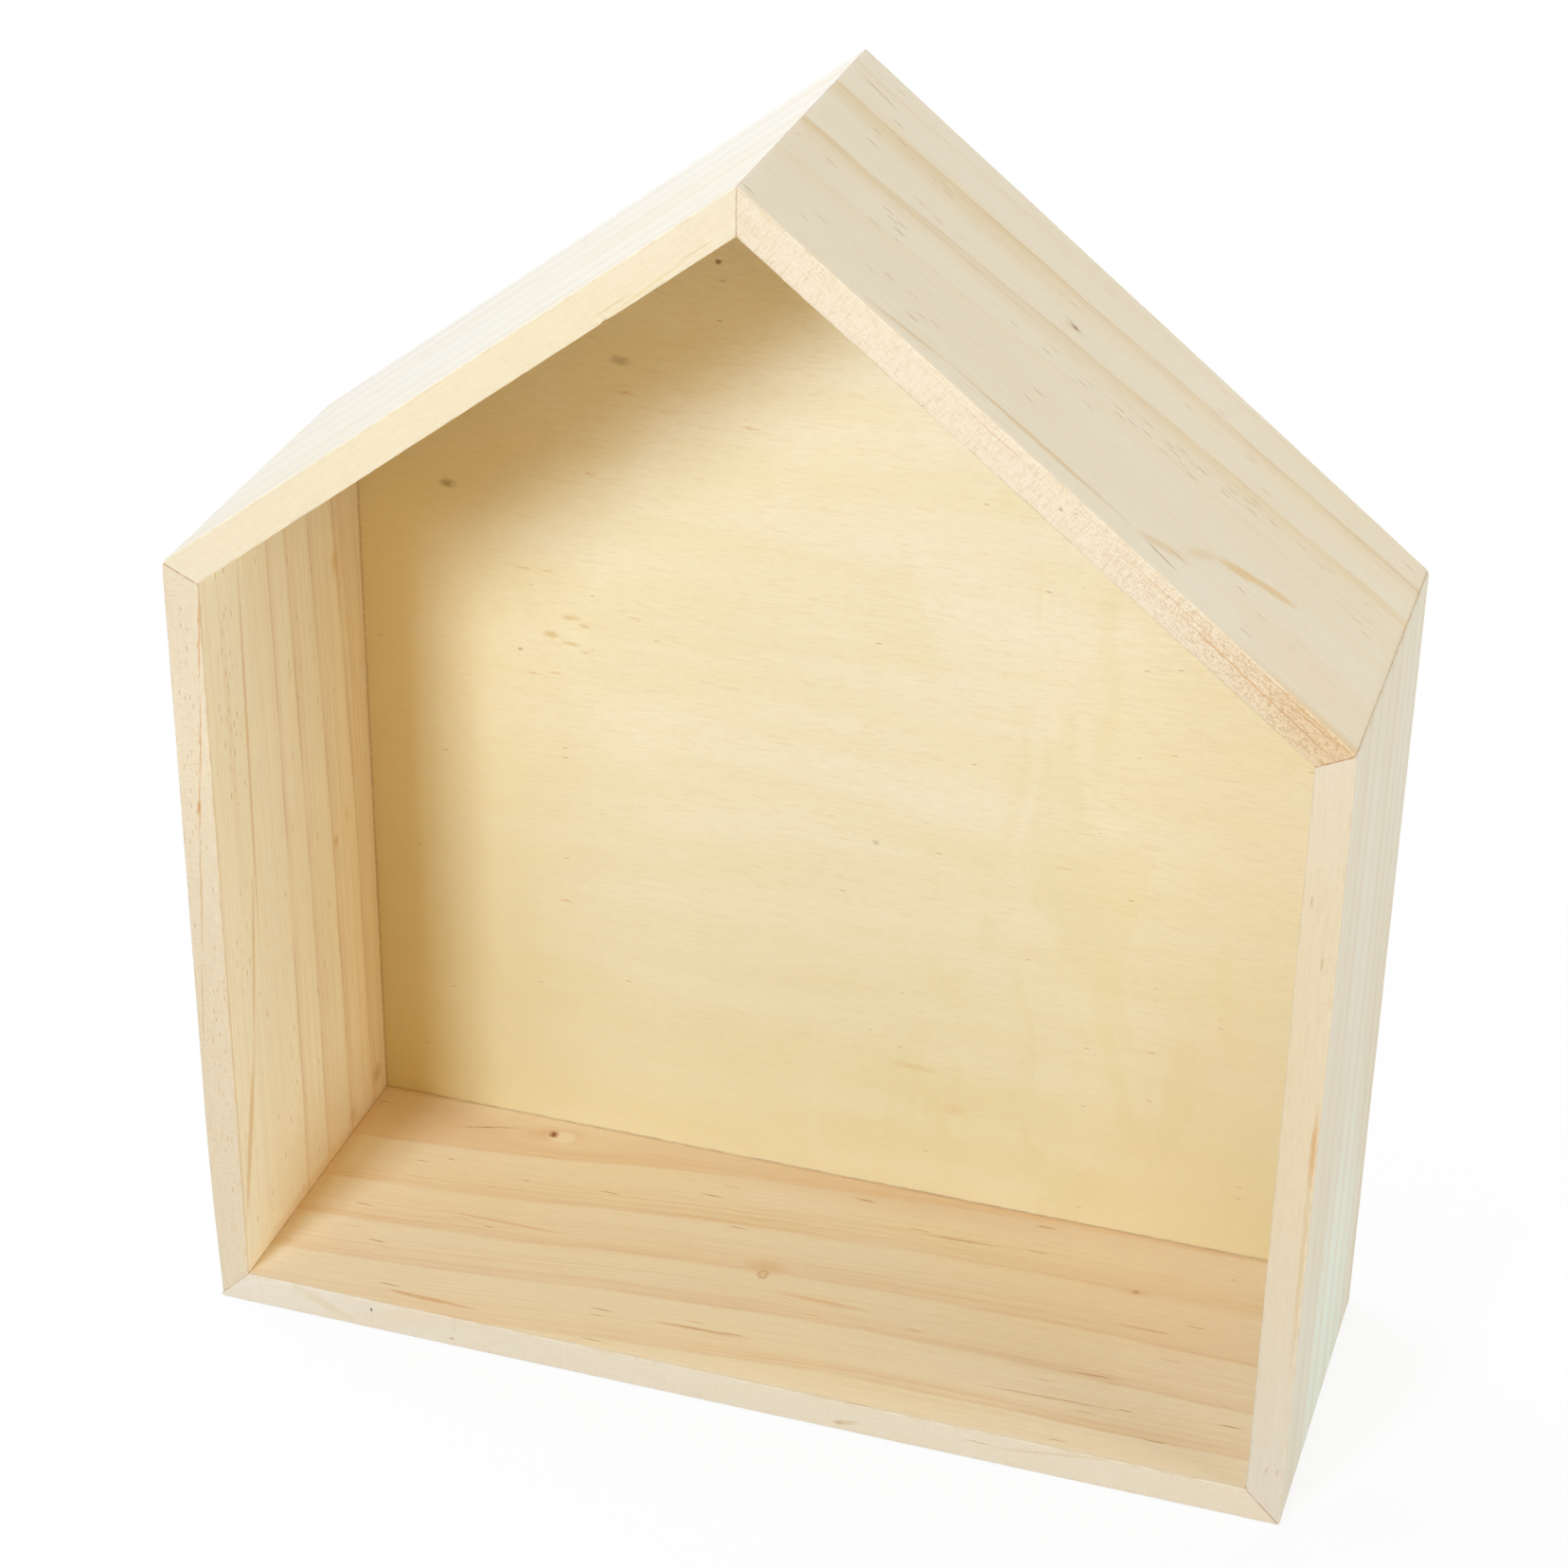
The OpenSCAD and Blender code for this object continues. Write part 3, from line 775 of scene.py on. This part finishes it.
leftWallBoard = {
    "seed": 53,
    "early": (250, 241, 218), "earlyDeep": (248, 236, 208), "late": (236, 206, 156),
    "line": (210, 164, 106), "fibreTone": (238, 224, 204), "wearTone": (214, 180, 132),
    "course": [(-114, -1.8), (-69, -0.2), (-26, 1.6), (10, 2.4), (45, 2.7), (114, 3)],
    "ringFace": 9.5, "joint": 0.4, "lean": 0.1, "dashTone": (198, 158, 108),
    "wiggle": ((0.012, 0.02, 0.03, 1), (0.045, 0.08, 0.1, 0.5)),
    "rings": [(-10.7, -1, 0.15, 9, 0.5, 0.7), (2.2, 0.6, 0.36, 15, 0.5, 0.7), (17.5, 1.6, 0.36, 15, 0.45, 0.9),
              (33.2, 1.8, 0.34, 15, 0.45, 1)],
    "seams": (0.9, 0.4), "blunt": (0.5, 1.3), "worn": (55, 118, 1.7, 0.4), "sawMarks": (8, 0.3),
    "dashes": 0.03, "dashCell": ((9, 1.2), (6, 0.8)),
    "dashGroups": [
        ((-65, -37, 9.5), (50, 9, 3), 0, 0.6), ((5, -38, 9.5), (30, 9, 3), -10, 0.4),
        ((-5, -14, 9.5), (22, 4, 3), 0, 0.3), ((60, -13, 9.5), (50, 4, 3), 0, 0.35),
        ((-15, -25, 9.5), (8, 4, 3), 0, 0.5), ((-60, -50, 4.5), (65, 1.5, 4), 0, 0.42),
        ((30, -50, 6.5), (80, 1.5, 3.5), 0, 0.34), ((-10, -50, 0.8), (40, 1.5, 1.5), 0, 0.45),
    ],
    "tints": [
        # Painted bounce light: the shaded rear of the inner face made lighter and warmer
        mark((0, 46, 9.5), (190, 40, 12), (254, 232, 180), 0.65),
        mark((40, -50, 5), (190, 1.5, 20), (229, 212, 179), 0.85),
        # Painted shade: the inner face darker towards the floor
        innerMark(112, 0, 50, 60, (222, 197, 151), 0.6),
        # Painted shade: the corner with the floor
        mark((104.5, 0, 9.5), (6, 60, 2), (226, 182, 116), 0.45),
        mark((-112, -50, 5), (60, 1.5, 20), (226, 207, 174), 0.6),
    ],
    "marks": [
        innerMark(-50, -28.4, 80, 1.1, (222, 184, 128), 0.6, turn=-1),
        innerMark(10, -33.4, 36, 1.1, (224, 186, 130), 0.6, turn=-7),
        innerMark(62, -42.4, 34, 2.0, (226, 190, 134), 0.65, turn=-13),
        innerMark(-78, 30.5, 6, 4, (226, 180, 92), 0.5, core=0),
        innerMark(5.1, 21.6, 3.4, 2.2, (222, 174, 86), 0.65, core=0),
        innerMark(0.9, 29.5, 4, 1.8, (226, 182, 106), 0.4, core=0),
        innerMark(96, 41, 4.5, 4.5, (196, 146, 84), 0.45, core=0),
        innerMark(99, 23, 4, 5, (210, 158, 94), 0.4, core=0),
        edgeMark(-95, 8.9, 20, 0.4, (214, 160, 94), 0.75, tip=4),
        edgeMark(-66, 7.2, 16, 0.35, (214, 160, 94), 0.75, tip=4),
        edgeMark(-44.5, 5.3, 2.6, 0.5, (200, 132, 66), 0.8, tip=8),
        edgeMark(-46, 5.6, 14, 0.35, (218, 168, 106), 0.7, tip=4),
        edgeMark(-18, 4.0, 24, 0.4, (216, 178, 124), 0.7, tip=3),
        edgeMark(18, 1.9, 22, 0.35, (214, 182, 134), 0.6, tip=3),
    ],
}
buildBoard("left_wall_board", 4, leftWallBoard)


# Plywood back

backPanel = {
    "light": (243, 233, 203), "deep": (239, 227, 188), "patch": (234, 221, 172),
    # Painted light among these tones: the one over the left side is painted shade from the left wall, the warm one
    # painted bounce light from the right wall, the low one painted shade towards the bottom, the rim one a painted
    # shadow line where the boards meet the face
    "line": (222, 196, 146), "leftShadeTone": (224, 208, 163), "fleck": (172, 130, 76),
    "rear": (226, 206, 164), "rimShadeTone": (126, 84, 44), "low": (231, 230, 218),
    "warm": (240, 216, 166), "tan": (208, 164, 82), "dark": (140, 108, 52), "grey": (160, 142, 108),
    "relief": 0.03, "roughness": (0.5, 0.64),
    "bendScale": (0.012, 0, 0.02), "bend": 9.0,          # bends the bands up and down, millimetres
    "bandScale": (0.006, 0, 0.05), "blotchScale": (0.03, 0, 0.022), "patchScale": (0.05, 0, 0.018),
    # Painted light: painted shade towards the left side by the left wall, painted bounce light on the right side from
    # the right wall, painted shade towards the bottom: from, to, strength, blend
    "paintedLightDrifts": {
        "leftShadeTone": (-35, -115, 0.85, "MIX"), "warm": (65, 150, 0.65, "MIX"), "low": (160, 10, 0.8, "MULTIPLY"),
    },
    # Fine grain: noise scale, shift and detail, then from, to and strength
    "grain": {
        "mottle": ((0.22, 0, 1.1), 31, 3, 0.45, 0.75, 0.23),
        "streaks": ((0.05, 0, 0.9), 21, 3, 0.52, 0.78, 0.22),
        "hairs": ((0.2, 0, 2.6), 25, 2, 0.5, 0.75, 0.3),
    },
    "dashCell": (9, 50, 1.6), "dashLimit": 0.9, "dashOutline": (0.14, 0.05), "dashStrength": (0.1, 0.6),
    "ragged": ((0.5, 0, 1.1), (3, 0, 1.4)),
    "rearDirt": 0.5, "faceDepth": (48.0, 48.5, 49.5),      # the face ends here, and the rear begins
    # Small flecks of the face veneer: from the middle, height, half width, half height, strength, tone
    "flecks": [
        (-37, 286, 1.3, 1, 1, "dark"), (-114, 212, 2.6, 1.6, 0.7, "dark"), (-64, 255, 3.6, 1.6, 0.45, "dark"),
        (-62, 246, 3.0, 0.7, 0.5, "tan"), (-28, 241, 3.4, 0.6, 0.5, "tan"), (-73, 221, 2.0, 0.6, 0.4, "tan"),
        (-93, 190, 3.0, 0.5, 0.5, "tan"), (-86, 190, 2.4, 0.5, 0.5, "tan"), (-61, 180, 3.4, 0.5, 0.4, "tan"),
        (-79, 177, 3.2, 1.1, 0.55, "tan"), (-75, 175, 2.0, 0.9, 0.5, "tan"), (-85, 171, 2.8, 1.3, 0.6, "tan"),
        (-79, 169, 3.0, 0.9, 0.55, "tan"), (-75, 167, 2.0, 0.7, 0.45, "tan"), (-94, 165, 0.7, 0.5, 0.8, "grey"),
        (-90, 158, 2.4, 0.5, 0.5, "tan"), (-84, 159, 2.0, 0.5, 0.45, "tan"), (-82, 86, 2.6, 0.6, 0.6, "tan"),
        (9, 123, 1.2, 0.9, 0.5, "grey"), (22, 52, 9.0, 1.4, 0.3, "tan"), (34, 40, 4.0, 2.2, 0.25, "tan"),
        (62, 125, 3.0, 0.6, 0.35, "tan"),
    ],
}


# Broad colours of the face: bands and blotches; then painted shade towards the left side and the bottom, and painted
# bounce light on the right side
def plywoodGround(shade, look, local, veneer, front):
    across, _, up = shade.add("SeparateXYZ", {0: local}).outputs
    bands = shade.noise(veneer, look["bandScale"], 7, 2, 0.6)
    shade.colour = look["light"]
    shade.paint(look["deep"], shade.span(bands, 0.32, 0.68))
    blotch = shade.noise(local, look["blotchScale"], 15, 3, 0.6, 0.8)
    shade.paint(look["light"], shade.span(blotch, 0.5, 0.68, 0, 0.5))
    patches = shade.noise(local, look["patchScale"], 43, 2, 0.6, 0.8)
    shade.paint(look["patch"], shade.span(patches, 0.5, 0.62, 0, 0.4), shade.span(across, -20, 50))
    # Painted shade at the left and towards the bottom, painted bounce light at the right
    drift = shade.scaled(blotch, 30.0, across)
    lower = shade.scaled(across, 0.1, up)
    for key, (start, end, most, blend) in look["paintedLightDrifts"].items():
        spread = shade.span(lower if key == "low" else drift, start, end, 0, most)
        shade.paint(look[key], spread, front, blend=blend)


# Distance from the nearest board, inwards
def rimDepth(shade, local):
    nearest = None
    for side in range(5):
        matrix = boardFrame(side).inverted()
        depth = shade.vector("DOT_PRODUCT", local, Vector(matrix[2][:3]), output="Value")
        depth = shade.math("ADD", depth, matrix[2][3] - boardThickness)
        nearest = depth if nearest is None else shade.math("MINIMUM", nearest, depth)
    return nearest


def plywoodMaterial(look):
    shade = Shade("rotary cut plywood")
    local = shade.houseVector()
    across, deep, up = shade.add("SeparateXYZ", {0: local}).outputs
    frontEnd, frontStart, rearStart = look["faceDepth"]
    front = shade.span(deep, frontStart, frontEnd)
    bend = shade.noise(local, look["bendScale"], 4, 1)
    wavy = shade.scaled(bend, look["bend"], up)
    veneer = shade.add("CombineXYZ", {0: across, 1: deep, 2: wavy}).outputs[0]
    plywoodGround(shade, look, local, veneer, front)
    grain = {}
    for kind, (scale, shift, detail, start, end, amount) in look["grain"].items():
        grain[kind] = shade.noise(local if kind == "mottle" else veneer, scale, shift, detail, 0.7)
        shade.paint(look["line"], shade.span(grain[kind], start, end, 0, amount))
    dashPlace = shade.place(veneer, (3, 0, 5), scale=[1 / reach for reach in look["dashCell"]])
    dash = shade.dashes(dashPlace, look["dashLimit"], look["dashOutline"], look["dashStrength"])
    shade.paint(look["fleck"], dash)
    ragged = shade.ragged(local, *look["ragged"])
    for x, z, wide, high, amount, kind in look["flecks"]:
        fleck = shade.spot(ragged, (x, panelLow.y, z), (wide * 1.2, 4, high * 1.2))
        shade.paint(look[kind], fleck, front, amount)

    # Painted shadow: a thin dark line where the boards meet the face; and the darker rear
    rim = shade.span(rimDepth(shade, local), 0.6, 0.1)
    shade.paint(look["rimShadeTone"], rim, shade.span(grain["mottle"], 0.35, 0.6, 0.05, 0.35), front)
    shade.paint(look["rear"], shade.span(deep, frontStart, rearStart), look["rearDirt"], blend="MULTIPLY")
    height = shade.scaled(dash, -0.8, shade.math("ADD", grain["hairs"], grain["streaks"]))
    roughness = shade.span(grain["hairs"], 0.3, 0.7, *look["roughness"])
    return shade.finish(roughness, height, look["relief"])


def dressNode(name, material):
    node = cadNodes[name]
    if not node.data.materials:
        node.data.materials.append(material)
    for place in range(len(node.material_slots)):
        node.material_slots[place].material = material


dressNode("back_panel", plywoodMaterial(backPanel))
print("back panel dressed")


# Steel fastenings

fastenings = {
    "wedge": {"tone": (150, 150, 152), "dark": (104, 102, 100), "roughness": (0.34, 0.5), "scratches": (0.3, 4, 12)},
    "pin": {"tone": (158, 158, 160), "dark": (112, 110, 106), "roughness": (0.3, 0.45), "scratches": (0.3, 4, 20)},
    "hanger": {"tone": (154, 149, 130), "dark": (126, 119, 98), "roughness": (0.36, 0.5), "scratches": (0.3, 4, 5.6)},
    "relief": 0.01, "specular": 0.5, "clouds": (0.16, 0.16, 0.16),
    "plateEdge": 0.1,          # millimetres taken off the edges of the hanger plate
    "plateWeld": 1e-6,         # metres
    "flatAngle": math.radians(1), "edgeAngle": math.radians(35),
    "turns": 20,
    "pinHead": 0.5, "pinPoint": 2.2, "nailHead": 0.7, "nailPoint": 3.0,
    # Dome of a head: share of its radius, share of its height below the top
    "dome": [(0, 0.02), (0.3, 0.05), (0.58, 0.16), (0.8, 0.36), (0.94, 0.62), (0.99, 0.86), (0.95, 0.99)],
    "shank": {"pin": 0.545, "nail": 0.415},
}


def steelMaterial(name, look):
    shade = Shade(name)
    local = shade.houseVector()
    cloud = shade.noise(local, fastenings["clouds"], 3, 3, 0.6)
    scratch = shade.noise(local, look["scratches"], 8, 3, 0.6)
    shade.colour = look["tone"]
    shade.paint(look["dark"], shade.span(cloud, 0.35, 0.7, 0, 0.6))
    shade.paint(look["dark"], shade.span(scratch, 0.55, 0.8, 0, 0.3))
    roughness = shade.span(scratch, 0.3, 0.7, *look["roughness"])
    return shade.finish(roughness, scratch, fastenings["relief"], fastenings["specular"], 1)


# Pin or nail turned about its own line, from the dome of the head to the point
def turnedNail(name, material, kind):
    low, high = nodeBox(name)
    centre = (low + high) / 2
    radius = (high.x - low.x) / 2
    head, point = fastenings[kind + "Head"], fastenings[kind + "Point"]
    shank = radius * fastenings["shank"][kind]
    outline = [(radius * wide, high.y - head * down) for wide, down in fastenings["dome"]]
    outline += [(shank, high.y - head), (shank, low.y + point), (shank / 4, low.y + 0.05), (0, low.y + 0.02)]
    mesh = bmesh.new()
    verts = [mesh.verts.new((centre.x + out, along, centre.z)) for out, along in outline]
    edges = [mesh.edges.new(pair) for pair in zip(verts, verts[1:])]
    bmesh.ops.spin(
        mesh, geom=verts + edges, cent=centre, axis=(0, 1, 0), dvec=(0, 0, 0),
        angle=math.tau, steps=fastenings["turns"], use_merge=True, use_duplicate=False,
    )
    bmesh.ops.remove_doubles(mesh, verts=mesh.verts[:], dist=sameTolerance)
    bmesh.ops.transform(mesh, matrix=Matrix.Scale(millimetre, 4), verts=mesh.verts[:])
    addPiece(name, mesh, material, False)


# Hanger plate as sawn from the sheet, with its edges rubbed round
def softenedPlate(name, material):
    mesh = bmesh.new()
    mesh.from_mesh(cadNodes[name].data)
    bmesh.ops.remove_doubles(mesh, verts=mesh.verts[:], dist=fastenings["plateWeld"])
    flat, steep = fastenings["flatAngle"], fastenings["edgeAngle"]
    bmesh.ops.dissolve_limit(mesh, angle_limit=flat, verts=mesh.verts[:], edges=mesh.edges[:])
    rim = [edge for edge in mesh.edges if edge.is_manifold and edge.calc_face_angle(0) > steep]
    soften(mesh, rim, fastenings["plateEdge"] * millimetre)
    addPiece(name, mesh, material)


wedgeSteel = steelMaterial("wedge steel", fastenings["wedge"])
pinSteel = steelMaterial("pin steel", fastenings["pin"])
hangerSteel = steelMaterial("hanger steel", fastenings["hanger"])
for name in sorted(cadNodes):
    if name.endswith("_wedge"):
        dressNode(name, wedgeSteel)
    elif "_panel_pin_" in name:
        turnedNail(name, pinSteel, "pin")
    elif name.endswith("_nail"):
        turnedNail(name, hangerSteel, "nail")
softenedPlate("hanger_plate", hangerSteel)
print("fastenings dressed")


# Floor, light and camera

studio = {
    "floorSeen": (1, 1, 1, 1), "floorBounce": (0.3, 0.3, 0.3, 1), "floorSize": 12.0, "floorDrop": 0.0001,
    "floorWhite": (0.14, 0.34, 0.87, 1),      # from and to, metres off the middle, and the shares of white there
    "skyStrength": 0.05, "skyTone": (1, 0.85, 0.62, 1), "skySeen": (1, 1, 1, 1),
    "lamps": {
        "key light": {"from": (-0.6, -1.9, 1.03), "size": (0.46, 0.68), "power": 9.72, "tone": (0.83, 1, 1.23),
                      "spread": 100, "aim": (0, 0, 0.36)},
        "warm fill": {"from": (0.5, -2.3, 0.5), "size": (2.0, 2.0), "power": 24.6, "tone": (1, 0.59, 0.11)},
        "top light": {"from": (-0.75, 0.35, 1.75), "size": (1.3, 1.3), "power": 23.8, "tone": (0.94, 1, 1.17)},
        "side light": {"from": (1.85, -0.3, 0.45), "size": (1, 1), "power": 22.8, "tone": (0.93, 0.98, 1)},
        "back light": {"from": (0.1, 2.1, 0.27), "size": (1.8, 0.5), "power": 34.0, "tone": (0.97, 1, 1.02)},
    },
    "aim": (0, 0, 0.17),
}


# White as seen by the camera and in reflections, plain to everything else
def seenRays(shade):
    path = shade.add("LightPath").outputs
    seen = shade.math("ADD", path["Is Camera Ray"], path["Is Glossy Ray"], clamp=True)
    return shade.math("ADD", seen, path["Is Transmission Ray"], clamp=True)


def makeFloor():
    mesh = bmesh.new()
    bmesh.ops.create_grid(mesh, x_segments=1, y_segments=1, size=studio["floorSize"] / 2)
    bmesh.ops.translate(mesh, verts=mesh.verts[:], vec=(0, 0, -studio["floorDrop"]))
    data = bpy.data.meshes.new("floor")
    mesh.to_mesh(data)
    mesh.free()
    floor = newObject("floor", data)
    shade = Shade("pale floor")
    seen = seenRays(shade)
    diffuse = shade.add("BsdfDiffuse", {"Color": shade.mix(seen, studio["floorBounce"], studio["floorSeen"])})
    glow = shade.add("Emission", {"Strength": 1})
    distance = shade.vector("LENGTH", shade.add("TexCoord").outputs["Object"], output="Value")
    white = shade.times(seen, shade.span(distance, *studio["floorWhite"], smooth=False))
    mixed = shade.add("MixShader", {0: white, 1: diffuse.outputs[0], 2: glow.outputs[0]})
    shade.add("OutputMaterial", {"Surface": mixed.outputs[0]})
    data.materials.append(shade.owner)


def makeWorld():
    world = bpy.data.worlds.new("studio")
    bpy.context.scene.world = world
    shade = Shade("studio", world)
    seen = seenRays(shade)
    background = shade.add("Background", {
        "Color": shade.mix(seen, studio["skyTone"], studio["skySeen"]),
        "Strength": shade.span(seen, 0, 1, studio["skyStrength"], 1, smooth=False),
    })
    shade.add("OutputWorld", {"Surface": background.outputs[0]})


def makeLamp(name, look):
    lamp = bpy.data.lights.new(name, "AREA")
    lamp.shape = "RECTANGLE"
    lamp.size, lamp.size_y = look["size"]
    lamp.spread = math.radians(look.get("spread", 180))
    lamp.energy = look["power"]
    lamp.color = look["tone"]
    holder = newObject(name, lamp)
    holder.location = look["from"]
    direction = Vector(look.get("aim", studio["aim"])) - Vector(look["from"])
    holder.rotation_euler = direction.to_track_quat("-Z", "Y").to_euler()


makeFloor()
makeWorld()
for name, look in studio["lamps"].items():
    makeLamp(name, look)

viewpoint = {
    "at": (0.2478, -0.7963, 0.6444), "look": (-0.2601, 0.8272, -0.498), "up": (-0.1631, 0.4707, 0.8671),
    "lens": 85.7, "sensor": 36.0,
}
cameraData = bpy.data.cameras.new("photo view")
cameraData.sensor_width = viewpoint["sensor"]
cameraData.lens = viewpoint["lens"]
camera = newObject("photo view", cameraData)
backwards = -Vector(viewpoint["look"]).normalized()
sideways = Vector(viewpoint["up"]).cross(backwards).normalized()
upwards = backwards.cross(sideways)
turned = Matrix((sideways, upwards, backwards)).transposed().to_4x4()
camera.matrix_world = Matrix.Translation(viewpoint["at"]) @ turned
bpy.context.scene.camera = camera
bpy.context.scene.view_settings.view_transform = "Standard"
print("studio set")
